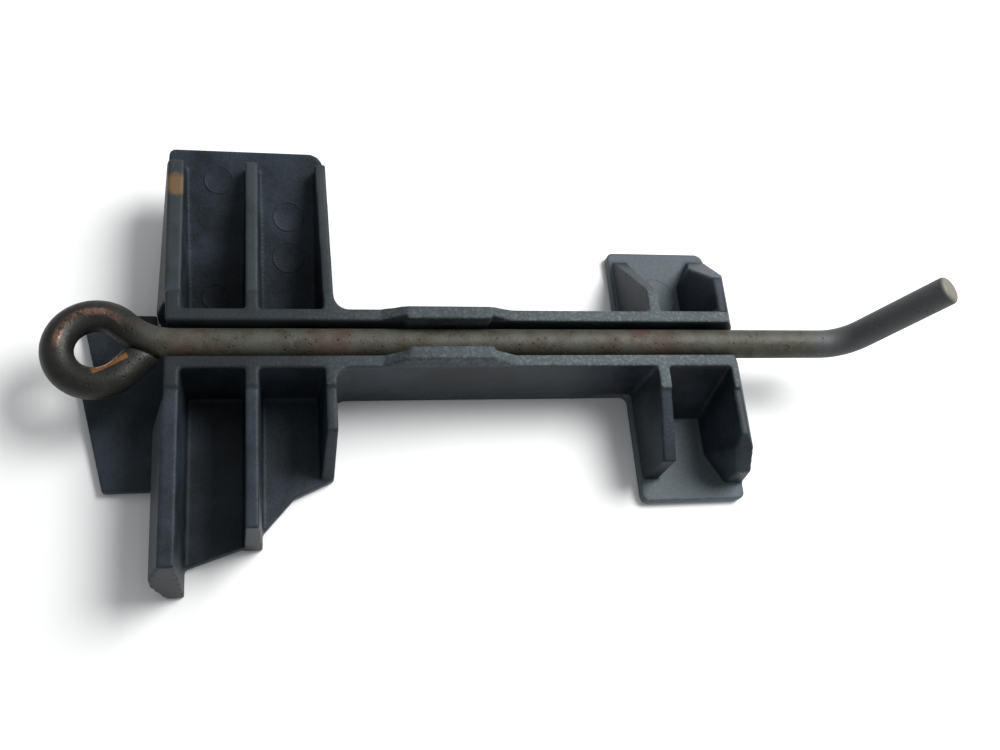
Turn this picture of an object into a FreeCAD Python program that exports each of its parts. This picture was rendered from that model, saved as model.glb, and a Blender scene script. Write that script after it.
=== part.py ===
import FreeCAD, Part
import math
import os
import Sketcher
from FreeCAD import Vector

# Rod holdback: a ribbed moulded carrier and the bent steel rod that snaps into its channel.
# Origin: middle of the foot's underside, below the rod. +X runs along the rod from the eye
# to the bent tip, +Y is the back of the carrier, +Z points out of the channel's open side.

SIZES = [
    # rod
    ("rod_diameter", 8.0),
    ("rod_drop", 4.3),            # rod axis below the channel's rims
    ("ring_radius", 9.0),         # eye, to the middle of the wire
    ("neck_radius", 16.7),        # offset bend between shank and eye
    ("neck_angle", 45.0),
    ("ring_turn", 271.0),         # how far the wire goes round the eye
    ("eye_gap", 0.5),             # between the cut end and the neck
    ("leg_gap", 1.422),           # between the cut end and the line of the side wall
    ("swing_gap", 3.2274),        # under the eye when it is turned down
    ("shank_overhang", 22.3),     # straight shank beyond the foot
    ("tip_radius", 12.0),
    ("tip_angle", 60.0),
    ("tip_roll", 6.0),            # lean of the bent tip towards the back
    ("tip_length", 27.5),
    ("tip_chamfer", 0.8),
    # beam
    ("channel_clearance", 0.8),
    ("beam_wall", 3.3),
    ("channel_floor", 3.9),       # left between the channel and the hollow underside
    ("beam_left", 140.8),
    ("beam_setback", 6.4),        # the beam ends this far inside the foot, at the rims
    ("end_bevel", 3.0),           # and slants out by this to its knee
    ("end_bevel_depth", 5.0),
    # snap lips
    ("lip_shift", 0.6),           # from the middle of the free beam towards the foot
    ("lip_length", 22.0),
    ("lip_ramp", 6.5),
    ("lip_rise", 3.6),
    ("lip_lean", 0.9),
    ("seat_clearance", 0.06),
    ("snap_height", 1.5),         # above the rod axis, where the lips close in
    ("snap_bite", 0.2),           # how far each lip reaches over the rod
    # plates and ribs
    ("plate", 3.0),
    ("rib_step", 0.8),            # rib tops below the channel's rims
    ("rib_shoulder", 13.0),
    ("rib_draft", 0.7),           # what each side of a rib gains at its root
    # wings
    ("wing_back", 57.3),
    ("wing_rim", 5.3),            # ribs end this far inside the back wing
    ("wing_tip_drop", 4.0),
    ("wing_taper", 1.2),          # how far the back wing's inner side leans to the left
    ("side_wall", 3.6),
    ("side_flare", 3.0),
    ("side_flare_depth", 10.0),
    ("side_flare_height", 5.0),
    ("side_front", 56.9),
    ("side_front_foot", 59.6),
    ("side_tip", 0.5),            # what is left of the flare at the back wing's tip
    ("middle_rib", 3.2),
    ("middle_rib_offset", 21.0),  # from the side wall's outer face, as for the next two
    ("middle_rib_front", 48.4),
    ("inner_rib", 2.8),
    ("inner_rib_offset", 40.3),
    ("inner_rib_front", 24.5),
    ("inner_rib_foot", 31.0),
    ("floor_front", 54.2),
    ("floor_middle", 47.3),
    ("floor_notch", 35.6),
    ("floor_notch_offset", 31.4),
    ("root_fillet", 4.0),
    ("wing_corner", 4.5),
    ("wing_corner_left", 1.8),
    # flange under the eye
    ("flange_reach", 23.0),
    ("flange_slant", 13.3),
    ("flange_back", 16.2),
    ("flange_front", 32.5),
    ("flange_step", 4.4),
    ("flange_step_place", 2.6),
    ("relief_back", 10.5),
    ("relief_front", 15.5),
    ("relief_run", 5.0),
    # foot
    ("foot_left", 14.7),
    ("foot_left_back", 15.4),
    ("foot_right", 15.7),
    ("foot_back", 38.0),
    ("foot_front", 39.8),
    ("foot_corner", 2.0),
    ("foot_far_corner", 3.0),
    ("foot_root", 2.0),
    ("foot_wall", 3.3),
    ("foot_wall_inset", 2.9),
    ("foot_wall_shoulder", 14.5),
    ("foot_wall_front_gap", 6.4),  # gaps are measured from the foot plate's edges
    ("foot_wall_drop", 6.0),
    ("foot_wall_back_gap", 3.6),
    ("end_wall", 8.0),            # from the foot's edge to the inner face, at the rims
    ("end_wall_draft", 2.5),
    ("end_wall_flat_gap", 12.0),
    ("end_wall_front_gap", 4.6),
    ("end_wall_nose", 13.0),      # height of the wall's front end
    ("end_wall_back_gap", 3.2),
    ("end_wall_shoulder", 19.5),
    ("end_wall_cheek", 4.8),      # the wall's inner corners are cut back by this
    ("end_wall_cheek_run", 10.3),
    ("buttress", 16.0),
    # hollow underside
    ("core_start", 26.0),
    ("core_bays", 4),
    ("core_web", 2.6),
    # modelling allowances
    ("overlap", 0.1),             # what pieces share where they are joined
    ("margin", 1.0),              # how far a cut runs past what it cuts
    ("toe", 0.5),                 # what is left of a wall at the end of its slope
]

doc = FreeCAD.newDocument("rod_holdback")
sheet = doc.addObject("Spreadsheet::Sheet", "Sizes")
for row, (alias, value) in enumerate(SIZES, start=1):
    sheet.set("A%d" % row, alias)
    sheet.set("B%d" % row, str(value))
    sheet.setAlias("B%d" % row, alias)

# Sizes that follow from the ones above.
DERIVED = [
    ("rod_radius", "rod_diameter / 2"),
    ("eye_reach", "(neck_radius + ring_radius) * cos(neck_angle) - neck_radius + ring_radius"
     " + rod_radius"),
    ("axis_height", "plate + swing_gap + eye_reach"),
    ("wall_height", "axis_height + rod_drop"),
    ("channel_half", "rod_radius + channel_clearance"),
    ("beam_half", "channel_half + beam_wall"),
    ("channel_bottom", "axis_height - channel_half"),
    ("core_height", "channel_bottom - channel_floor"),
    ("beam_right", "foot_right - beam_setback"),
    ("shank_reach", "foot_right + shank_overhang"),
    ("lip_centre", "beam_left / 2 - lip_shift"),
    ("middle_rib_place", "beam_left - middle_rib_offset"),
    ("inner_rib_place", "beam_left - inner_rib_offset"),
    ("floor_notch_place", "beam_left - floor_notch_offset"),
    ("wing_rib_back", "wing_back - wing_rim"),
    ("foot_wall_place", "foot_left - foot_wall_inset"),
    ("foot_wall_front", "foot_front - foot_wall_front_gap"),
    ("foot_wall_back", "foot_back - foot_wall_back_gap"),
    ("end_wall_inner", "foot_right - end_wall"),
    ("end_wall_flat", "foot_front - end_wall_flat_gap"),
    ("end_wall_front", "foot_front - end_wall_front_gap"),
    ("end_wall_back", "foot_back - end_wall_back_gap"),
    ("seat_radius", "rod_radius + seat_clearance"),
    ("snap_half", "rod_radius - snap_bite"),
    ("lip_top", "wall_height + lip_rise"),
    ("lip_half_top", "lip_length / 2"),
    ("lip_half_foot", "lip_length / 2 + lip_ramp"),
    ("rib_top", "wall_height - rib_step"),
    ("side_outer", "beam_left"),
    ("side_bulge", "side_outer + side_flare"),
    ("bulge_top", "wall_height - side_flare_depth"),
    ("wing_tip_top", "wall_height - wing_tip_drop"),
    ("wing_inner", "inner_rib_place - inner_rib / 2"),
    ("wing_tip_inner", "wing_inner + wing_taper"),
    ("end_wall_root", "end_wall_inner - end_wall_draft"),
    ("end_knee", "beam_right + end_bevel"),
    ("end_knee_height", "wall_height - end_bevel_depth"),
]
for row, (alias, formula) in enumerate(DERIVED, start=len(SIZES) + 1):
    sheet.set("A%d" % row, alias)
    sheet.set("B%d" % row, "=" + formula)
    sheet.setAlias("B%d" % row, alias)
doc.recompute()

NAMES = sorted([alias for alias, _ in SIZES + DERIVED], key=len, reverse=True)


def size(alias):
    return float(sheet.get(alias))


def bound(formula):
    """Write sheet aliases in a formula the way other objects refer to them."""
    words = []
    word = ""
    for letter in formula + " ":
        if letter.isalnum() or letter == "_":
            word += letter
            continue
        words.append("Sizes." + word if word in NAMES else word)
        words.append(letter)
        word = ""
    return "".join(words).strip()


def origin_plane(body, role):
    return [feature for feature in body.Origin.OriginFeatures if feature.Role == role][0]


def outline(body, name, role, level, corners):
    """Closed sketch whose corners are held by formulas, on an origin plane moved by level."""
    sketch = body.newObject("Sketcher::SketchObject", name)
    sketch.AttachmentSupport = [(origin_plane(body, role), "")]
    sketch.MapMode = "FlatFace"
    sketch.setExpression("AttachmentOffset.Base.z", bound(level))
    rules = [(bound(across), bound(up)) for across, up in corners]
    spots = [Vector(float(sketch.evalExpression(across)), float(sketch.evalExpression(up)), 0)
             for across, up in rules]
    count = len(spots)
    for i in range(count):
        sketch.addGeometry(Part.LineSegment(spots[i], spots[(i + 1) % count]), False)
    for i in range(count):
        sketch.addConstraint(Sketcher.Constraint("Coincident", i, 2, (i + 1) % count, 1))
    for i, (across, up) in enumerate(rules):
        place = sketch.addConstraint(Sketcher.Constraint("DistanceX", i, 1, spots[i].x))
        sketch.setExpression("Constraints[%d]" % place, across)
        place = sketch.addConstraint(Sketcher.Constraint("DistanceY", i, 1, spots[i].y))
        sketch.setExpression("Constraints[%d]" % place, up)
    return sketch


def pad(body, name, role, level, length, corners):
    """Solid from an outline: up from XY, right from YZ, and towards the front from XZ."""
    sketch = outline(body, name + "_outline", role, level, corners)
    feature = body.newObject("PartDesign::Pad", name)
    feature.Profile = sketch
    feature.setExpression("Length", bound(length))
    sketch.Visibility = False
    return feature


def pocket(body, name, role, level, length, corners):
    """Cut along the same direction in which pad builds."""
    sketch = outline(body, name + "_outline", role, level, corners)
    feature = body.newObject("PartDesign::Pocket", name)
    feature.Profile = sketch
    feature.Reversed = True
    feature.setExpression("Length", bound(length))
    sketch.Visibility = False
    return feature


def rib_section(place, thickness, upright=False):
    """Corners of a rib's section, with a draft above the floor on both sides or the left only."""
    left, right = "%s - %s / 2" % (place, thickness), "%s + %s / 2" % (place, thickness)
    if upright:
        right_side = [(right, "0"), (right, "wall_height")]
    else:
        right_side = [(right + " + rib_draft", "0"), (right + " + rib_draft", "plate"),
                      (right, "wall_height")]
    return [(left + " - rib_draft", "0")] + right_side + [
        (left, "wall_height"), (left + " - rib_draft", "plate")]


def rib(body, name, place, thickness, front, back, upright=False):
    """Straight rib along Y, as high as the channel's rims."""
    return pad(body, name, "XZ_Plane", "-(%s)" % back, "(%s) + (%s)" % (front, back),
               rib_section(place, thickness, upright))


def leaning_rib(body, name, place, thickness, back, lean):
    """Rib from the beam to the back that ends further along X by lean, upright on its right."""
    near = outline(body, name + "_near", "XZ_Plane", "-beam_half",
                   rib_section(place, thickness, True))
    far = outline(body, name + "_far", "XZ_Plane", "-(%s)" % back,
                  rib_section("%s + (%s)" % (place, lean), thickness, True))
    feature = body.newObject("PartDesign::AdditiveLoft", name)
    feature.Profile = near
    feature.Sections = [far]
    feature.Ruled = True
    near.Visibility = False
    far.Visibility = False
    return feature


def fillet(body, name, radius, chosen):
    """Round the edges of the last feature that the test picks out."""
    doc.recompute()
    tip = body.Tip
    edges = ["Edge%d" % (i + 1) for i, edge in enumerate(tip.Shape.Edges) if chosen(edge)]
    if not edges:
        raise ValueError("no edge found for " + name)
    feature = body.newObject("PartDesign::Fillet", name)
    feature.Base = (tip, edges)
    feature.setExpression("Radius", bound(radius))
    return feature


def upright_at(spots, reach=0.3):
    """Test for upright edges that stand on one of the given places."""
    def chosen(edge):
        low, high = edge.Vertexes[0].Point, edge.Vertexes[-1].Point
        if abs(low.x - high.x) > reach or abs(low.y - high.y) > reach:
            return False
        if abs(low.z - high.z) < 1.0:
            return False
        return any(abs(low.x - x) < reach and abs(low.y - y) < reach for x, y in spots)
    return chosen


def carrier():
    body = doc.addObject("PartDesign::Body", "ribbed_carrier")
    body.Label = "ribbed_carrier"

    # Beam that holds the rod's channel. Its right end slants out below the rims.
    pad(body, "beam", "XY_Plane", "0", "wall_height", [
        ("-beam_left", "-beam_half"), ("foot_right", "-beam_half"),
        ("foot_right", "beam_half"), ("-beam_left", "beam_half"),
    ])

    # Floor of the front wing, with the flange that reaches under the eye.
    slant = " * tan(flange_slant)"
    pad(body, "wing_floor", "XY_Plane", "0", "plate", [
        ("-side_outer", "-floor_front"),
        ("-middle_rib_place", "-floor_middle"),
        ("-floor_notch_place", "-floor_notch"),
        ("-wing_inner", "-inner_rib_foot"),
        ("-wing_inner", "0"),
        ("-side_outer", "0"),
    ])
    step = "(flange_back + flange_step_place)"
    pad(body, "flange", "XY_Plane", "0", "plate", [
        ("-side_outer - overlap", "-flange_front"),
        ("-side_outer - flange_reach + (flange_front - flange_step_place)" + slant, "-flange_front"),
        ("-side_outer - flange_reach", "-flange_step_place"),
        ("-side_outer - flange_reach + flange_step", "-flange_step_place"),
        ("-side_outer - flange_reach + flange_step - " + step + slant, "flange_back"),
        ("-side_outer - overlap", "flange_back"),
    ])

    # Back wing: a plate that climbs from the beam's root to the rib tops.
    pad(body, "wing_ramp", "YZ_Plane", "-side_bulge", "side_bulge - wing_inner", [
        ("beam_half", "0"), ("wing_back", "wing_tip_top - plate"),
        ("wing_back", "wing_tip_top"), ("beam_half", "plate"),
    ])

    # Ribs and side wall run through the beam from the front wing to the back wing.
    rib(body, "middle_rib_body", "-middle_rib_place", "middle_rib", "middle_rib_front",
        "wing_rib_back")
    rib(body, "inner_rib_body", "-inner_rib_place", "inner_rib", "inner_rib_foot", "beam_half",
        True)
    leaning_rib(body, "inner_rib_back", "-inner_rib_place", "inner_rib", "wing_rib_back",
                "-wing_taper")
    pad(body, "side_wall_body", "XZ_Plane", "-wing_rib_back", "side_front_foot + wing_rib_back", [
        ("-side_outer", "wall_height"),
        ("-side_bulge", "bulge_top"),
        ("-side_bulge", "bulge_top - side_flare_height"),
        ("-side_outer", "0"),
        ("-side_outer + side_wall + rib_draft", "0"),
        ("-side_outer + side_wall + rib_draft", "plate"),
        ("-side_outer + side_wall", "wall_height"),
    ])

    # The back wing narrows towards its tip, and the side wall's flare fades out with it.
    pocket(body, "ramp_left_edge", "XY_Plane", "0", "wall_height", [
        ("-side_bulge - margin", "relief_back"), ("-side_bulge", "relief_back"),
        ("-side_outer - side_tip", "wing_back + margin"), ("-side_bulge - margin", "wing_back + margin"),
    ])
    lean = "wing_taper * (wing_back + margin - beam_half) / (wing_rib_back - beam_half)"
    pocket(body, "ramp_right_edge", "XY_Plane", "0", "wall_height", [
        ("-wing_inner", "beam_half"), ("-wing_inner - " + lean, "wing_back + margin"),
        ("-wing_inner + margin", "wing_back + margin"), ("-wing_inner + margin", "beam_half"),
    ])
    # Rounded corners where the inner rib leaves the beam.
    for side, across in (("front", -size("beam_half")), ("back", size("beam_half"))):
        fillet(body, "wing_root_" + side, "root_fillet",
               upright_at([(-size("wing_inner"), across)], 1.0))
    # Everything below the ramp's underside is open.
    rise = "(wing_tip_top - plate) / (wing_back - beam_half)"
    pocket(body, "ramp_underside", "YZ_Plane", "-side_bulge - margin",
           "side_bulge - wing_inner + root_fillet + 2 * margin", [
               ("beam_half", "0"), ("beam_half", "-margin"), ("wing_back + margin", "-margin"),
               ("wing_back + margin", rise + " * (wing_back + margin - beam_half)"),
           ])
    # Rib tops stand a little lower than the channel's rims.
    for side, sign, reach in (("front", "-", "side_front_foot"), ("back", "", "wing_rib_back")):
        pocket(body, "rib_tops_" + side, "YZ_Plane", "-side_bulge - margin",
               "side_bulge - wing_inner + 2 * margin", [
                   (sign + "rib_shoulder", "rib_top"), (sign + "(%s + margin)" % reach, "rib_top"),
                   (sign + "(%s + margin)" % reach, "lip_top"), (sign + "rib_shoulder", "lip_top"),
               ])
    # Sloped front ends of the inner rib and the side wall.
    pocket(body, "inner_rib_end", "YZ_Plane", "-wing_inner - inner_rib - rib_draft - margin",
           "inner_rib + 2 * rib_draft + 2 * margin", [
               ("-inner_rib_front", "lip_top"), ("-inner_rib_front", "rib_top"),
               ("-inner_rib_foot - overlap", "plate"), ("-inner_rib_foot - margin", "plate"),
               ("-inner_rib_foot - margin", "lip_top"),
           ])
    pocket(body, "side_wall_end", "YZ_Plane", "-side_bulge - margin",
           "side_flare + side_wall + rib_draft + 2 * margin", [
        ("-side_front", "lip_top"), ("-side_front", "rib_top"), ("-side_front_foot", "0"),
        ("-side_front_foot - margin", "0"), ("-side_front_foot - margin", "lip_top"),
    ])
    # Relief in the side wall where the eye turns.
    pocket(body, "eye_relief", "XY_Plane", "plate", "wall_height", [
        ("-side_outer", "-relief_front"),
        ("-side_bulge", "-relief_front - relief_run"),
        ("-side_bulge - margin", "-relief_front - relief_run"),
        ("-side_bulge - margin", "relief_back"),
        ("-side_outer", "relief_back"),
    ])

    # Foot: plate, two walls and a thickened beam between them.
    pad(body, "foot_plate", "XY_Plane", "0", "plate", [
        ("-foot_left", "-foot_front"), ("foot_right", "-foot_front"),
        ("foot_right", "foot_back"), ("-foot_left_back", "foot_back"),
        ("-foot_left_back", "0"), ("-foot_left", "0"),
    ])
    rib(body, "foot_wall_body", "-foot_wall_place", "foot_wall", "foot_wall_front",
        "foot_wall_back")
    pocket(body, "foot_wall_front_top", "YZ_Plane", "-foot_wall_place - foot_wall", "2 * foot_wall", [
        ("-foot_wall_shoulder", "lip_top"), ("-foot_wall_shoulder", "rib_top"),
        ("-foot_wall_front - overlap", "wall_height - foot_wall_drop"),
        ("-foot_wall_front - margin", "lip_top"),
    ])
    pocket(body, "foot_wall_back_top", "YZ_Plane", "-foot_wall_place - foot_wall", "2 * foot_wall", [
        ("foot_wall_shoulder", "lip_top"), ("foot_wall_shoulder", "wall_height"),
        ("foot_wall_back", "plate + toe"), ("foot_wall_back + margin", "plate + toe"),
        ("foot_wall_back + margin", "lip_top"),
    ])
    pad(body, "end_wall_body", "XZ_Plane", "-end_wall_back", "end_wall_front + end_wall_back", [
        ("end_wall_root", "0"), ("foot_right", "0"), ("foot_right", "wall_height"),
        ("end_wall_inner", "wall_height"), ("end_wall_root", "plate"),
    ])
    pocket(body, "end_wall_front_top", "YZ_Plane", "end_wall_root - margin", "foot_right", [
        ("-foot_wall_shoulder", "lip_top"), ("-foot_wall_shoulder", "rib_top"),
        ("-end_wall_flat", "rib_top"), ("-end_wall_front - overlap", "end_wall_nose"),
        ("-end_wall_front - margin", "lip_top"),
    ])
    pocket(body, "end_wall_back_top", "YZ_Plane", "end_wall_root - margin", "foot_right", [
        ("beam_half", "lip_top"), ("beam_half", "rib_top - rib_step"),
        ("end_wall_shoulder", "rib_top - rib_step"), ("end_wall_back + overlap", "plate + toe"),
        ("end_wall_back + margin", "lip_top"),
    ])
    for side, sign, end in (("front", "-", "end_wall_front"), ("back", "", "end_wall_back")):
        pocket(body, "end_wall_cheek_" + side, "XY_Plane", "plate", "wall_height", [
            ("end_wall_root - margin", sign + "(%s - end_wall_cheek_run)" % end),
            ("end_wall_root + end_wall_cheek", sign + end),
            ("end_wall_root + end_wall_cheek", sign + "(%s + margin)" % end),
            ("end_wall_root - margin", sign + "(%s + margin)" % end),
        ])
    pad(body, "buttress_body", "YZ_Plane", "-foot_wall_place", "foot_wall_place + end_wall_inner", [
        ("-buttress", "0"), ("-buttress", "plate"), ("-beam_half", "wall_height"),
        ("beam_half", "wall_height"), ("buttress", "plate"), ("buttress", "0"),
    ])
    pocket(body, "end_slant", "XZ_Plane", "-foot_back - margin", "foot_back + foot_front + 2 * margin", [
        ("beam_right", "lip_top"), ("beam_right", "wall_height"),
        ("end_knee", "end_knee_height"), ("foot_right", "plate"),
        ("foot_right + margin", "plate"), ("foot_right + margin", "lip_top"),
    ])

    # Rounded corners, seen from above.
    fillet(body, "foot_corners", "foot_corner", upright_at([
        (-size("foot_left"), -size("foot_front")), (size("foot_right"), -size("foot_front")),
        (-size("foot_left_back"), size("foot_back")),
    ]))
    fillet(body, "foot_far_corner_round", "foot_far_corner", upright_at([
        (size("foot_right"), size("foot_back")),
    ]))
    fillet(body, "foot_roots", "foot_root", upright_at([
        (-size("foot_left"), -size("beam_half")), (-size("foot_left_back"), size("beam_half")),
    ]))
    fillet(body, "wing_tip_right", "wing_corner", upright_at([
        (-size("wing_tip_inner"), size("wing_back")),
    ], 0.5))
    fillet(body, "wing_tip_left", "wing_corner_left", upright_at([
        (-size("side_outer") - size("side_tip"), size("wing_back")),
    ], 0.5))

    # Snap lips, leaning in towards the rod.
    pad(body, "lips", "XZ_Plane", "-beam_half", "2 * beam_half", [
        ("-lip_centre - lip_half_foot", "wall_height - margin"),
        ("-lip_centre - lip_half_foot", "wall_height"),
        ("-lip_centre - lip_half_top", "lip_top"),
        ("-lip_centre + lip_half_top", "lip_top"),
        ("-lip_centre + lip_half_foot", "wall_height"),
        ("-lip_centre + lip_half_foot", "wall_height - margin"),
    ])
    for side, sign in (("front", "-"), ("back", "")):
        pocket(body, "lip_lean_" + side, "YZ_Plane", "-lip_centre - lip_half_foot",
               "2 * lip_half_foot", [
                   (sign + "beam_half", "wall_height"),
                   (sign + "(beam_half + margin)", "wall_height"),
                   (sign + "(beam_half + margin)", "lip_top + margin"),
                   (sign + "(beam_half - lip_lean)", "lip_top + margin"),
               ])

    # Channel for the rod, and the closer seat between the snap lips.
    for name, start, run in (
            ("channel_left", "-beam_left - margin", "beam_left + margin - lip_centre - lip_half_top"),
            ("channel_right", "-lip_centre + lip_half_top",
             "lip_centre - lip_half_top + foot_right + margin")):
        pocket(body, name, "YZ_Plane", start, run, [
            ("-channel_half", "lip_top + margin"), ("-channel_half", "axis_height - channel_half / 2"),
            ("-channel_half / 2", "channel_bottom"), ("channel_half / 2", "channel_bottom"),
            ("channel_half", "axis_height - channel_half / 2"), ("channel_half", "lip_top + margin"),
        ])
    pocket(body, "snap_mouth", "YZ_Plane", "-lip_centre - lip_half_top - overlap",
           "lip_length + 2 * overlap", [
        ("-snap_half", "axis_height"), ("snap_half", "axis_height"),
        ("snap_half", "lip_top + margin"), ("-snap_half", "lip_top + margin"),
    ])
    doc.recompute()
    seat_outline = body.newObject("Sketcher::SketchObject", "rod_seat_outline")
    seat_outline.AttachmentSupport = [(origin_plane(body, "YZ_Plane"), "")]
    seat_outline.MapMode = "FlatFace"
    seat_outline.setExpression("AttachmentOffset.Base.z", bound("-lip_centre - lip_half_top - overlap"))
    seat_outline.addGeometry(Part.Circle(Vector(0, size("axis_height"), 0), Vector(0, 0, 1),
                                         size("seat_radius")), False)
    seat_outline.addConstraint(Sketcher.Constraint("DistanceX", 0, 3, 0))
    seat_outline.addConstraint(Sketcher.Constraint("DistanceY", 0, 3, size("axis_height")))
    seat_outline.setExpression("Constraints[1]", bound("axis_height"))
    seat_outline.addConstraint(Sketcher.Constraint("Radius", 0, size("seat_radius")))
    seat_outline.setExpression("Constraints[2]", bound("seat_radius"))
    seat = body.newObject("PartDesign::Pocket", "rod_seat")
    seat.Profile = seat_outline
    seat.Reversed = True
    seat.setExpression("Length", bound("lip_length + 2 * overlap"))

    # The beam's underside is hollow, in bays between cross webs.
    bay = "(beam_left - beam_wall - core_start - (core_bays - margin) * core_web) / core_bays"
    for i in range(int(size("core_bays"))):
        start = "-beam_left + beam_wall + %d * (%s + core_web)" % (i, bay)
        pocket(body, "core_bay_%d" % (i + 1), "XY_Plane", "0", "core_height", [
            (start, "-channel_half"), (start + " + " + bay, "-channel_half"),
            (start + " + " + bay, "channel_half"), (start, "channel_half"),
        ])
    return body


def rod():
    """Bent rod: eye, offset neck, straight shank and raised tip, swept along one wire."""
    turn = math.radians(size("neck_angle"))
    height = size("axis_height")
    wire_radius = size("rod_radius")
    neck = size("neck_radius")
    ring = size("ring_radius")
    down = -math.pi / 2
    ring_first = math.pi / 2 - turn
    ring_last = ring_first + math.radians(size("ring_turn"))
    heading = Vector(-math.sin(ring_last), math.cos(ring_last), 0)
    outward = Vector(heading.y, -heading.x, 0)

    def on_circle(centre, radius, angle):
        return centre + Vector(radius * math.cos(angle), radius * math.sin(angle), 0)

    def arc(centre, radius, first, last):
        return Part.Arc(on_circle(centre, radius, first),
                        on_circle(centre, radius, (first + last) / 2),
                        on_circle(centre, radius, last)).toShape()

    def eye(start):
        """Centres of the neck and ring, and the free leg's start, cut and outer corner."""
        neck_centre = start + Vector(0, neck, 0)
        ring_centre = neck_centre + Vector(-math.sin(turn), -math.cos(turn), 0) * (neck + ring)
        ring_end = on_circle(ring_centre, ring, ring_last)
        limit = neck + wire_radius + size("eye_gap")
        arm = ring_end - neck_centre
        lead = arm.dot(heading)
        reach = -lead - math.sqrt(lead * lead - arm.dot(arm) + limit * limit)
        cut_spot = ring_end + heading * reach
        normal = (neck_centre - cut_spot).normalize()
        run = reach - wire_radius * outward.dot(normal) / heading.dot(normal)
        corner = ring_end + outward * wire_radius + heading * run
        return neck_centre, ring_centre, ring_end, cut_spot, normal, corner

    # The eye stands where its free leg just clears the line of the side wall.
    corner = eye(Vector(0, 0, height))[-1]
    start = Vector(-size("beam_left") - size("leg_gap") - corner.x, 0, height)
    neck_centre, ring_centre, ring_end, cut_spot, normal, corner = eye(start)

    bend = math.radians(size("tip_angle"))
    roll = math.radians(size("tip_roll"))
    out = Vector(1, 0, 0)
    up = Vector(0, math.sin(roll), math.cos(roll))
    shank_end = Vector(size("shank_reach"), 0, height)
    bend_centre = shank_end + up * size("tip_radius")

    def on_bend(angle):
        return bend_centre + out * (size("tip_radius") * math.sin(angle)) \
            - up * (size("tip_radius") * math.cos(angle))

    tip_heading = out * math.cos(bend) + up * math.sin(bend)
    tip_end = on_bend(bend) + tip_heading * size("tip_length")

    # The wire from the end of the eye, round it, along the neck and shank, and up the tip.
    path = Part.Wire([
        arc(ring_centre, ring, ring_last, ring_first),
        arc(neck_centre, neck, down - turn, down),
        Part.LineSegment(start, shank_end).toShape(),
        Part.Arc(shank_end, on_bend(bend / 2), on_bend(bend)).toShape(),
        Part.LineSegment(on_bend(bend), tip_end).toShape(),
    ])
    section = Part.Wire(Part.makeCircle(wire_radius, ring_end, heading))
    swept = Part.Solid(path.makePipeShell([section], True, True))

    # Its free end runs on straight and is cut flat beside the neck.
    beyond = Part.makeCylinder(3 * ring, 4 * ring, cut_spot, normal)
    leg = Part.makeCylinder(wire_radius, 2 * ring, ring_end, heading).cut(beyond)
    shape = swept.fuse(leg).removeSplitter()
    rim = [edge for edge in shape.Edges
           if edge.Closed and (edge.CenterOfMass - tip_end).Length < 0.01]
    shape = shape.makeChamfer(size("tip_chamfer"), rim)
    feature = doc.addObject("Part::Feature", "eye_rod")
    feature.Label = "eye_rod"
    feature.Shape = shape
    feature.Placement = FreeCAD.Placement()
    return feature


parts = [carrier(), rod()]
doc.recompute()

for item in doc.Objects:
    if "Invalid" in item.State or "Error" in item.State:
        raise RuntimeError("%s failed: %s" % (item.Name, item.State))
for part in parts:
    if part.Shape.isNull() or not part.Shape.isValid():
        raise RuntimeError("%s has no valid shape" % part.Label)
    if len(part.Shape.Solids) != 1:
        raise RuntimeError("%s has %d solids" % (part.Label, len(part.Shape.Solids)))

os.makedirs("parts", exist_ok=True)
for part in parts:
    part.Shape.exportStep("parts/%s.step" % part.Label)
    print(part.Label, round(part.Shape.Volume, 1), part.Shape.BoundBox)
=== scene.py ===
import bpy
import math
from mathutils import Matrix, Vector


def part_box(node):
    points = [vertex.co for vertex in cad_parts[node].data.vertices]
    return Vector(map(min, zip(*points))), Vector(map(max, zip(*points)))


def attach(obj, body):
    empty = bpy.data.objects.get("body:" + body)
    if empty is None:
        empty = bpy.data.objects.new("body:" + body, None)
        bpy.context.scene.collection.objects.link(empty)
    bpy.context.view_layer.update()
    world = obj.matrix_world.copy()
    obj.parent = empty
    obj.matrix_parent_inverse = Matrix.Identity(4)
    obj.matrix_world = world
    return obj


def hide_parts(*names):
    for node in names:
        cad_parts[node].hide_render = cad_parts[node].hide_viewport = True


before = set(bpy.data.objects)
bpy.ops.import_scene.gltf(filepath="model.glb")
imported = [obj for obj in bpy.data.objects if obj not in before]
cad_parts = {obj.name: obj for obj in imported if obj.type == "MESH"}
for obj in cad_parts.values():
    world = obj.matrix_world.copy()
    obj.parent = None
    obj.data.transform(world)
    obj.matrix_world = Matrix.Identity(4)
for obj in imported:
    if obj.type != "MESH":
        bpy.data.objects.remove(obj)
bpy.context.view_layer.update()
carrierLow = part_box("ribbed_carrier")[0]
print("frame loaded:", sorted(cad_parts))


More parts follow.
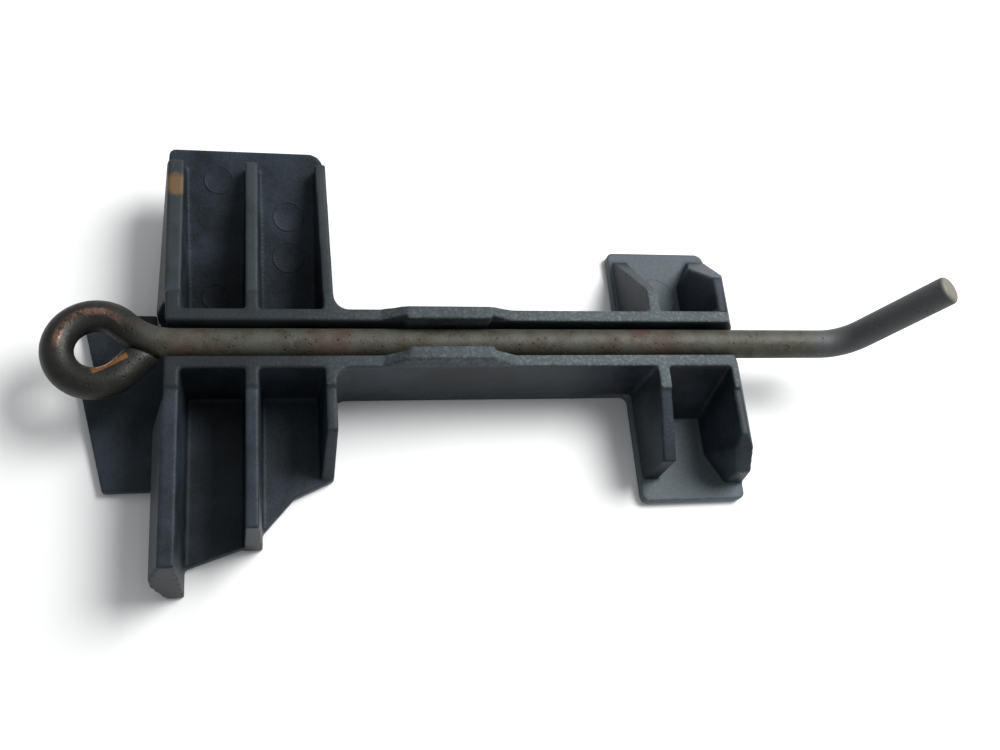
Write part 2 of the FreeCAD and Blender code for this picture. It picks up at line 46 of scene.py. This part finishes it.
class Wire:
    # a socket in a material; arithmetic on it adds Math nodes, and node() adds any other node
    def __init__(self, tree, socket=None):
        self.tree = tree
        self.socket = socket

    def node(self, kind, settings=None, inputs=None, output=0):
        made = self.tree.nodes.new(kind)
        for name, value in (settings or {}).items():
            setattr(made, name, value)
        for name, value in (inputs or {}).items():
            if isinstance(value, Wire):
                self.tree.links.new(value.socket, made.inputs[name])
            else:
                made.inputs[name].default_value = value
        return Wire(self.tree, made.outputs[output] if len(made.outputs) else None)

    def math(self, operation, *values):
        return self.node("ShaderNodeMath", {"operation": operation}, dict(enumerate(values)))

    def __add__(self, other):
        return self.math("ADD", self, other)

    def __radd__(self, other):
        return self.math("ADD", other, self)

    def __sub__(self, other):
        return self.math("SUBTRACT", self, other)

    def __rsub__(self, other):
        return self.math("SUBTRACT", other, self)

    def __mul__(self, other):
        return self.math("MULTIPLY", self, other)

    def __rmul__(self, other):
        return self.math("MULTIPLY", other, self)

    def away(self, middle=0.0):
        # how far from the middle, on either side
        offset = self - middle if middle else self
        return self.math("ABSOLUTE", offset)

    def most(self, other):
        return self.math("MAXIMUM", self, other)

    def vary(self, amount):
        # plus or minus half the amount, for a pattern that runs from 0 to 1
        return amount * (self - 0.5)

    def vector(self, operation, place, other, output=0):
        inputs = {0: place, 1: other}
        return self.node("ShaderNodeVectorMath", {"operation": operation}, inputs, output)

    def parts(self, place):
        return [self.node("ShaderNodeSeparateXYZ", {}, {"Vector": place}, axis) for axis in "XYZ"]

    def stretched(self, place, turn, scale):
        # the same place turned about Z and drawn out, for scratches that run one way
        inputs = {"Vector": place, "Rotation": (0, 0, turn), "Scale": scale}
        return self.node("ShaderNodeMapping", {}, inputs)

    def rise(self, low, high):
        # 0 below low, 1 above high, smooth between; swapped limits turn it round
        if low > high:
            return 1 - self.rise(high, low)
        inputs = {"Value": self, "From Min": low, "From Max": high}
        return self.node("ShaderNodeMapRange", {"interpolation_type": "SMOOTHSTEP"}, inputs)

    def noise(self, place, size, detail=3.0, roughness=0.5):
        # a grain about that size across, in metres
        inputs = {"Vector": place, "Scale": 1 / size, "Detail": detail, "Roughness": roughness}
        return self.node("ShaderNodeTexNoise", {}, inputs)

    def blend(self, share, first, second):
        inputs = {"Factor": share, 6: first, 7: second}    # 6, 7 and output 2 are the colours
        return self.node("ShaderNodeMix", {"data_type": "RGBA"}, inputs, output=2)


def newMaterial(name):
    material = bpy.data.materials.new(name)
    material.use_nodes = True
    material.node_tree.nodes.clear()
    return material, Wire(material.node_tree)


def objectPlace(wire):
    return wire.node("ShaderNodeTexCoord", output="Object")


def coat(wire, sockets):
    shader = wire.node("ShaderNodeBsdfPrincipled", {}, sockets)
    wire.node("ShaderNodeOutputMaterial", {}, {"Surface": shader})


def relief(wire, height, settings):
    inputs = {"Strength": settings["bump"], "Distance": settings["bumpDepth"], "Height": height}
    return wire.node("ShaderNodeBump", {}, inputs)


def colour(red, green, blue):
    # from 0-255 display values to linear light
    def linear(value):
        share = value / 255
        return share / 12.92 if share <= 0.04045 else ((share + 0.055) / 1.055) ** 2.4

    return (linear(red), linear(green), linear(blue), 1.0)


def selectOnly(piece):
    bpy.ops.object.select_all(action="DESELECT")
    piece.hide_set(False)
    piece.select_set(True)
    bpy.context.view_layer.objects.active = piece


def applyModifier(piece, kind, **settings):
    selectOnly(piece)
    modifier = piece.modifiers.new(kind.title(), kind)
    for name, value in settings.items():
        setattr(modifier, name, value)
    bpy.ops.object.modifier_apply(modifier=modifier.name)


def mergedCopy(node, name):
    # a copy of a CAD node with its loose triangles joined, ready to remodel
    piece = bpy.data.objects.new(name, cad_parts[node].data.copy())
    bpy.context.scene.collection.objects.link(piece)
    selectOnly(piece)
    bpy.ops.object.mode_set(mode="EDIT")
    bpy.ops.mesh.select_all(action="SELECT")
    bpy.ops.mesh.remove_doubles(threshold=1e-6)
    bpy.ops.object.mode_set(mode="OBJECT")
    piece.data.materials.clear()
    return piece


def softenEdges(piece, settings):
    # a fine even mesh, smoothed so that every edge and corner gets a small round, then thinned
    applyModifier(piece, "REMESH", mode="VOXEL", voxel_size=settings["grid"], adaptivity=0.0)
    applyModifier(piece, "SMOOTH", factor=0.5, iterations=settings["smoothing"])
    triangles = 2 * len(piece.data.polygons)
    share = min(1.0, settings["triangles"] / triangles)
    applyModifier(piece, "DECIMATE", ratio=share)
    selectOnly(piece)
    bpy.ops.object.shade_smooth()
    print(piece.name, "triangles", triangles, "->", len(piece.data.polygons))


carrier = {
    "grid": 0.00042,
    "smoothing": 6,
    "triangles": 185000,
    # colours
    "plastic": colour(22, 27, 31),
    "dusty": colour(46, 54, 62),
    "ribTop": colour(58, 62, 63),
    # pale grey painted on the floors as the light that falls on them
    "floorLight": colour(98, 108, 113),
    # pale grey for the painted sheen on the channel's rims and for the real nicks
    "scuffAndSheen": colour(112, 121, 124),
    "tan": colour(112, 88, 62),
    # pattern sizes
    "mottle": 0.016,
    "grain": 0.0005,
    "speckle": 0.0010,
    "scratch": 0.0032,
    "scratchTurn": 0.5,
    "scratchScale": (1, 3.5, 1),
    # where each finish starts and is full
    "dustyRise": (0.30, 0.72),
    "ribHeights": (0.0235, 0.0240),
    "backRibs": (-0.030, 0.005),
    "rimHeights": (0.0246, 0.0249),
    "towardsFoot": (-0.125, -0.030),
    "spotRise": (0.44, 0.70),
    "floorHeights": (0.0038, 0.0032),
    "footFloor": (-0.030, -0.016),
    "nickRise": (0.70, 0.76),
    "nickHeights": (0.0025, 0.0035),
    "tanPlace": (-0.1389, 0.0442, 0.0242),
    "tanReach": (0.0042, 0.0022),
    "tanEdge": 0.004,
    # gloss and relief
    "roughness": 0.46,
    "specular": 0.14,
    "bump": 0.5,
    "bumpDepth": 0.00012,
}


def carrierPlastic():
    material, wire = newMaterial("carrierPlastic")
    place = objectPlace(wire)
    along, across, height = wire.parts(place)
    broad = wire.noise(place, carrier["mottle"], detail=5.0, roughness=0.6)
    fine = wire.noise(place, carrier["grain"], detail=2.0)
    speckle = wire.noise(place, carrier["speckle"], detail=4.0, roughness=0.7)
    drawn = wire.stretched(place, carrier["scratchTurn"], carrier["scratchScale"])
    scratched = wire.noise(drawn, carrier["scratch"], detail=5.0, roughness=0.7)
    mottled = broad.rise(*carrier["dustyRise"]) * (0.75 + 0.5 * speckle)
    base = wire.blend(mottled, carrier["plastic"], carrier["dusty"])
    # rib tops are dusty grey, most in the back wing
    ribs = height.rise(*carrier["ribHeights"])
    ribShare = ribs * (0.10 + 0.75 * broad) * (0.25 + 0.75 * across.rise(*carrier["backRibs"]))
    base = wire.blend(ribShare, base, carrier["ribTop"])
    # painted light on the channel's rims: painted shade at the left end and a painted sheen growing
    # towards the foot, where the light falls; the pale specks on them are real rubbing
    rims = height.rise(*carrier["rimHeights"])
    towardsFoot = along.rise(*carrier["towardsFoot"])
    base = wire.blend(rims * (1 - towardsFoot) * 0.6, base, carrier["plastic"])
    brightened = rims * (0.04 + 0.96 * towardsFoot) * (0.65 + 0.7 * (broad - 0.2))
    spots = (speckle + scratched.vary(0.35)).rise(*carrier["spotRise"])
    base = wire.blend(brightened * (0.30 + 0.55 * spots), base, carrier["scuffAndSheen"])
    # painted light on the floors: pale where the light falls on them, most on the foot, which lies
    # open, and little in the wing pockets that the walls shade
    floorLightShare = height.rise(*carrier["floorHeights"]) * (0.12 + 0.88 * along.rise(*carrier["footFloor"]))
    base = wire.blend(floorLightShare * (0.25 + 0.55 * speckle), base, carrier["floorLight"])
    # a few bright nicks above the floors, and one tan rub at rib height in the back wing
    nicks = scratched.rise(*carrier["nickRise"]) * height.rise(*carrier["nickHeights"])
    base = wire.blend(nicks * 0.55, base, carrier["scuffAndSheen"])
    fromTan = wire.vector("DISTANCE", place, carrier["tanPlace"], output=1)
    tan = (fromTan + speckle.vary(carrier["tanEdge"])).rise(*carrier["tanReach"]) * ribs
    base = wire.blend(tan * 0.75, base, carrier["tan"])
    shine = carrier["roughness"] + broad.vary(0.14) + fine.vary(0.12) + 0.10 * brightened
    bump = relief(wire, fine + 0.8 * speckle + 0.8 * spots * brightened, carrier)
    coat(wire, {
        "Base Color": base, "Roughness": shine, "Normal": bump,
        "Specular IOR Level": carrier["specular"],
    })
    return material


rod = {
    "grid": 0.00036,
    "smoothing": 10,
    "triangles": 120000,
    # colours
    "plating": colour(72, 72, 66),
    "olive": colour(58, 55, 45),
    "rust": colour(70, 46, 33),
    "gunmetal": colour(33, 34, 36),
    "tipGrey": colour(76, 79, 82),
    "pit": colour(28, 24, 20),
    "bright": colour(132, 128, 112),
    "copper": colour(128, 98, 86),
    # colour of the painted highlight along the free leg
    "orange": colour(176, 120, 72),
    # pattern sizes
    "mottle": 0.018,
    "patch": 0.006,
    "grain": 0.0007,
    "pitSpacing": 0.0013,
    "scratch": 0.0025,
    "scratchTurn": 0.3,
    "scratchScale": (0.5, 2.5, 1),
    # where each finish starts and is full
    "oliveRise": (0.40, 0.62),
    "rustRise": (0.56, 0.70),
    "rustPatchRise": (0.34, 0.62),
    "rustPlaces": ((-0.099, 0.007), (-0.017, 0.011), (-0.137, 0.004)),    # middle, half length
    "rustEdge": 0.022,
    "eyeStart": (-0.141, -0.150),
    "tipStart": (0.030, 0.040),
    "endEdge": 0.006,
    "legSide": (-0.0030, -0.0048),
    "legStart": (-0.1400, -0.1420),
    "pitRise": (0.24, 0.12),
    "pitPatchRise": (0.46, 0.56),
    "scratchRise": (0.69, 0.74),
    "scratchStart": (-0.06, -0.02),
    # gloss and relief
    "roughness": 0.60,
    "metallic": 0.30,
    "specular": 0.4,
    "bump": 0.6,
    "bumpDepth": 0.0002,
    # bare metal along the eye's upper side and on the tip's end face, and a painted highlight along
    # the free leg
    "eyeStreak": {
        "centre": (-0.15717, -0.00147, 0),
        "radius": 0.0086,
        "width": (0.0012, 0.0005),
        "edge": 0.0012,
        "heights": (0.0237, 0.0243),
        "side": (-0.0035, 0.0005),
        "end": (-0.150, -0.153),
        "wornRise": (0.36, 0.60),
    },
    "legStreak": {
        "place": (-0.1533, -0.0065, 0.0225),
        "turn": 0.483,
        "half": (0.0048, 0.00408),
        "width": (0.0010, 0.0006),
        "edge": 0.0006,
        "heights": (0.0212, 0.0217),
    },
    "tip": {
        "end": (0.06214, 0.00312, 0.05035),
        "heading": (0.5, 0.0905, 0.8613),
        "depth": (0.0009, 0.0003),
    },
}


def rustCover(wire, along, broad, patches):
    # rust in patches, and thicker in a few places along the shank
    rusty = (broad + patches.vary(0.35)).rise(*rod["rustRise"])
    for middle, half in rod["rustPlaces"]:
        band = (along.away(middle) + patches.vary(rod["rustEdge"])).rise(1.3 * half, 0.2 * half)
        rusty = rusty.most(band * patches.rise(*rod["rustPatchRise"]))
    return rusty


def eyeRub(wire, place, along, across, height, fine):
    streak = rod["eyeStreak"]
    flat = wire.vector("MULTIPLY", place, (1, 1, 0))
    radial = wire.vector("DISTANCE", flat, streak["centre"], output=1)
    beside = radial.away(streak["radius"]) + fine.vary(streak["edge"])
    brightened = beside.rise(*streak["width"]) * height.rise(*streak["heights"])
    return brightened * across.rise(*streak["side"]) * along.rise(*streak["end"])


# the free leg's painted highlight: a bright streak along its top where the light glints
def legHighlight(wire, place, height, fine):
    streak = rod["legStreak"]
    inputs = {"Vector": place, "Location": streak["place"], "Rotation": (0, 0, streak["turn"])}
    turned = wire.node("ShaderNodeMapping", {"vector_type": "TEXTURE"}, inputs)
    legAlong, legAcross = wire.parts(turned)[:2]
    beside = legAcross.away() + fine.vary(streak["edge"])
    brightened = legAlong.away().rise(*streak["half"]) * beside.rise(*streak["width"])
    return brightened * height.rise(*streak["heights"])


def tipFace(wire, place):
    tip = rod["tip"]
    ahead = wire.vector("DOT_PRODUCT", place, tip["heading"], output=1)
    reach = sum(a * b for a, b in zip(tip["end"], tip["heading"]))
    start, full = tip["depth"]
    return ahead.rise(reach - start, reach - full)


def rodSteel():
    material, wire = newMaterial("rodSteel")
    place = objectPlace(wire)
    along, across, height = wire.parts(place)
    broad = wire.noise(place, rod["mottle"], detail=6.0, roughness=0.65)
    patches = wire.noise(place, rod["patch"], detail=6.0, roughness=0.7)
    fine = wire.noise(place, rod["grain"], detail=3.0, roughness=0.6)
    metal = wire.blend(patches.rise(*rod["oliveRise"]), rod["plating"], rod["olive"])
    rusty = rustCover(wire, along, broad, patches)
    metal = wire.blend(rusty * (0.55 + 0.5 * (fine - 0.2)), metal, rod["rust"])
    # the bent tip is grey, and the eye with its free leg is dark
    uneven = along + patches.vary(rod["endEdge"])
    cover = 0.4 * (patches - 0.5)
    metal = wire.blend(uneven.rise(*rod["tipStart"]) * (0.80 + cover), metal, rod["tipGrey"])
    freeLeg = across.rise(*rod["legSide"]) * along.rise(*rod["legStart"])
    dark = uneven.rise(*rod["eyeStart"]).most(freeLeg)
    metal = wire.blend(dark * (0.70 + cover), metal, rod["gunmetal"])
    # pits
    cells = wire.node("ShaderNodeTexVoronoi", {}, {"Vector": place, "Scale": 1 / rod["pitSpacing"]})
    pitted = (patches + broad.vary(0.4)).rise(*rod["pitPatchRise"])
    pits = (cells + fine.vary(0.35)).rise(*rod["pitRise"]) * pitted
    metal = wire.blend(pits * 0.85, metal, rod["pit"])
    # bare metal on the eye, and the free leg's painted highlight
    streak = eyeRub(wire, place, along, across, height, fine)
    worn = (patches + fine.vary(0.5)).rise(*rod["eyeStreak"]["wornRise"])
    metal = wire.blend(streak * (0.10 + 0.75 * worn), metal, rod["copper"])
    # painted highlight: an orange streak along the free leg, with less roughness and more metal
    brightened = legHighlight(wire, place, height, fine)
    metal = wire.blend(brightened * 0.9, metal, rod["orange"])
    drawn = wire.stretched(place, rod["scratchTurn"], rod["scratchScale"])
    scratches = wire.noise(drawn, rod["scratch"], detail=4.0, roughness=0.7).rise(*rod["scratchRise"])
    scratches = scratches * along.rise(*rod["scratchStart"])
    metal = wire.blend(tipFace(wire, place).most(scratches) * 0.6, metal, rod["bright"])
    brightStreaks = streak.most(brightened)
    shine = rod["roughness"] + 0.12 * rusty + fine.vary(0.15) - 0.16 * dark - 0.15 * brightStreaks
    metallic = rod["metallic"] + 0.25 * dark + 0.2 * brightStreaks - 0.2 * rusty
    bump = relief(wire, 0.8 * fine + patches - 1.4 * pits, rod)
    coat(wire, {
        "Base Color": metal, "Metallic": metallic, "Roughness": shine, "Normal": bump,
        "Specular IOR Level": rod["specular"],
    })
    return material


def finishPiece(piece, node, body, material):
    piece.data.materials.append(material)
    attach(piece, body)
    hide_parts(node)


def makeCarrier():
    piece = mergedCopy("ribbed_carrier", "mouldedCarrier")
    softenEdges(piece, carrier)
    finishPiece(piece, "ribbed_carrier", "carrier", carrierPlastic())
    return piece


def makeRod():
    piece = mergedCopy("eye_rod", "weatheredRod")
    softenEdges(piece, rod)
    finishPiece(piece, "eye_rod", "rod", rodSteel())
    return piece


marks = {
    "height": 0.00011,
    "width": 0.00045,
    "sink": 0.9,                     # how far the inside goes down, as a share of the height
    "round": 0.00006,
    "rampFoot": (0.0081, 0.0030),    # where the back wing's ramp starts: Y, Z
    "rampSlope": 0.3659,
    "floor": 0.0030,
    "onRamp": {
        "pinMarkA": (-0.1101, 0.0407, 0.0042),
        "pinMarkB": (-0.1101, 0.0302, 0.0044),
        "pinMarkC": (-0.1285, 0.0497, 0.0040),
        "pinMarkD": (-0.1294, 0.0198, 0.0038),
    },
    "onFloor": {"pinMarkE": (-0.0023, 0.0229, 0.0066)},
}


def makeMark(name, place, slope, radius, material):
    # a low ring left in the moulding, with its inside sunk back to the surface
    bpy.ops.object.select_all(action="DESELECT")
    bpy.ops.mesh.primitive_cylinder_add(vertices=64, radius=radius, depth=2 * marks["height"])
    ring = bpy.context.object
    ring.name = name
    bpy.ops.object.mode_set(mode="EDIT")
    bpy.ops.mesh.select_all(action="DESELECT")
    bpy.ops.object.mode_set(mode="OBJECT")
    for face in ring.data.polygons:
        face.select = face.normal.z > 0.9
    bpy.ops.object.mode_set(mode="EDIT")
    bpy.ops.mesh.select_mode(type="FACE")
    bpy.ops.mesh.inset(thickness=marks["width"])
    bpy.ops.mesh.inset(thickness=marks["width"] / 4)
    bpy.ops.transform.translate(value=(0, 0, -marks["sink"] * marks["height"]))
    bpy.ops.object.mode_set(mode="OBJECT")
    applyModifier(ring, "BEVEL", width=marks["round"], segments=2, limit_method="ANGLE")
    bpy.ops.object.shade_smooth()
    ring.rotation_euler = (math.atan(slope), 0, 0)
    ring.location = place
    bpy.ops.object.transform_apply(location=True, rotation=True, scale=True)
    ring.data.materials.append(material)
    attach(ring, "carrier")


def makeMarks(material):
    footY, footZ = marks["rampFoot"]
    for name, (x, y, radius) in marks["onRamp"].items():
        z = footZ + marks["rampSlope"] * (y - footY)
        makeMark(name, (x, y, z), marks["rampSlope"], radius, material)
    for name, (x, y, radius) in marks["onFloor"].items():
        makeMark(name, (x, y, marks["floor"]), 0.0, radius, material)


studio = {
    "floor": (0.90, 0.90, 0.90, 1.0),
    "floorSize": 6.0,
    "floorGap": 0.0002,
    "floorRoughness": 0.9,
    "world": (0.97, 0.985, 1.0, 1.0),
    "worldStrength": 0.36,
    "key": {
        "place": (0.36, 0.20, 0.66), "aim": (0.0, 0.0, 0.0),
        "size": 0.45, "power": 5.0, "spread": 140,
    },
    "fill": {
        "place": (0.1, 0.6, 0.9), "aim": (-0.07, 0.0, 0.0),
        "size": 1.2, "power": 1.0, "spread": 160,
    },
    "lens": 38.07,
    "sensor": 36.0,
    "nearest": 0.01,
    "camera": (-0.1174, -0.1107, 0.2726),
    "right": (0.97559, -0.08817, 0.20110),
    "up": (0.00623, 0.92660, 0.37602),
}


def makeFloor():
    bpy.ops.object.select_all(action="DESELECT")
    level = carrierLow.z - studio["floorGap"]
    bpy.ops.mesh.primitive_plane_add(size=studio["floorSize"], location=(0, 0, level))
    floor = bpy.context.object
    floor.name = "floor"
    material, wire = newMaterial("floorPaper")
    coat(wire, {"Base Color": studio["floor"], "Roughness": studio["floorRoughness"]})
    floor.data.materials.append(material)


def makeLight(name):
    settings = studio[name]
    lamp = bpy.data.lights.new(name, "AREA")
    lamp.shape = "DISK"
    lamp.size = settings["size"]
    lamp.energy = settings["power"]
    lamp.spread = math.radians(settings["spread"])
    light = bpy.data.objects.new(name, lamp)
    bpy.context.scene.collection.objects.link(light)
    light.location = Vector(settings["place"])
    ahead = Vector(settings["aim"]) - light.location
    light.rotation_euler = ahead.to_track_quat("-Z", "Y").to_euler()


def makeStudio():
    makeFloor()
    makeLight("key")
    makeLight("fill")
    scene = bpy.context.scene
    scene.world = bpy.data.worlds.new("paleWorld")
    scene.world.use_nodes = True
    background = scene.world.node_tree.nodes["Background"]
    background.inputs["Color"].default_value = studio["world"]
    background.inputs["Strength"].default_value = studio["worldStrength"]
    scene.view_settings.view_transform = "Standard"


def makeCamera():
    data = bpy.data.cameras.new("camera")
    data.lens = studio["lens"]
    data.sensor_width = studio["sensor"]
    data.clip_start = studio["nearest"]
    camera = bpy.data.objects.new("camera", data)
    right = Vector(studio["right"]).normalized()
    up = Vector(studio["up"]).normalized()
    turn = Matrix((right, up, right.cross(up))).transposed()
    camera.matrix_world = Matrix.Translation(Vector(studio["camera"])) @ turn.to_4x4()
    bpy.context.scene.collection.objects.link(camera)
    bpy.context.scene.camera = camera


makeStudio()
makeCamera()
print("studio ready")
moulded = makeCarrier()
makeMarks(moulded.data.materials[0])
makeRod()
print("pieces ready")
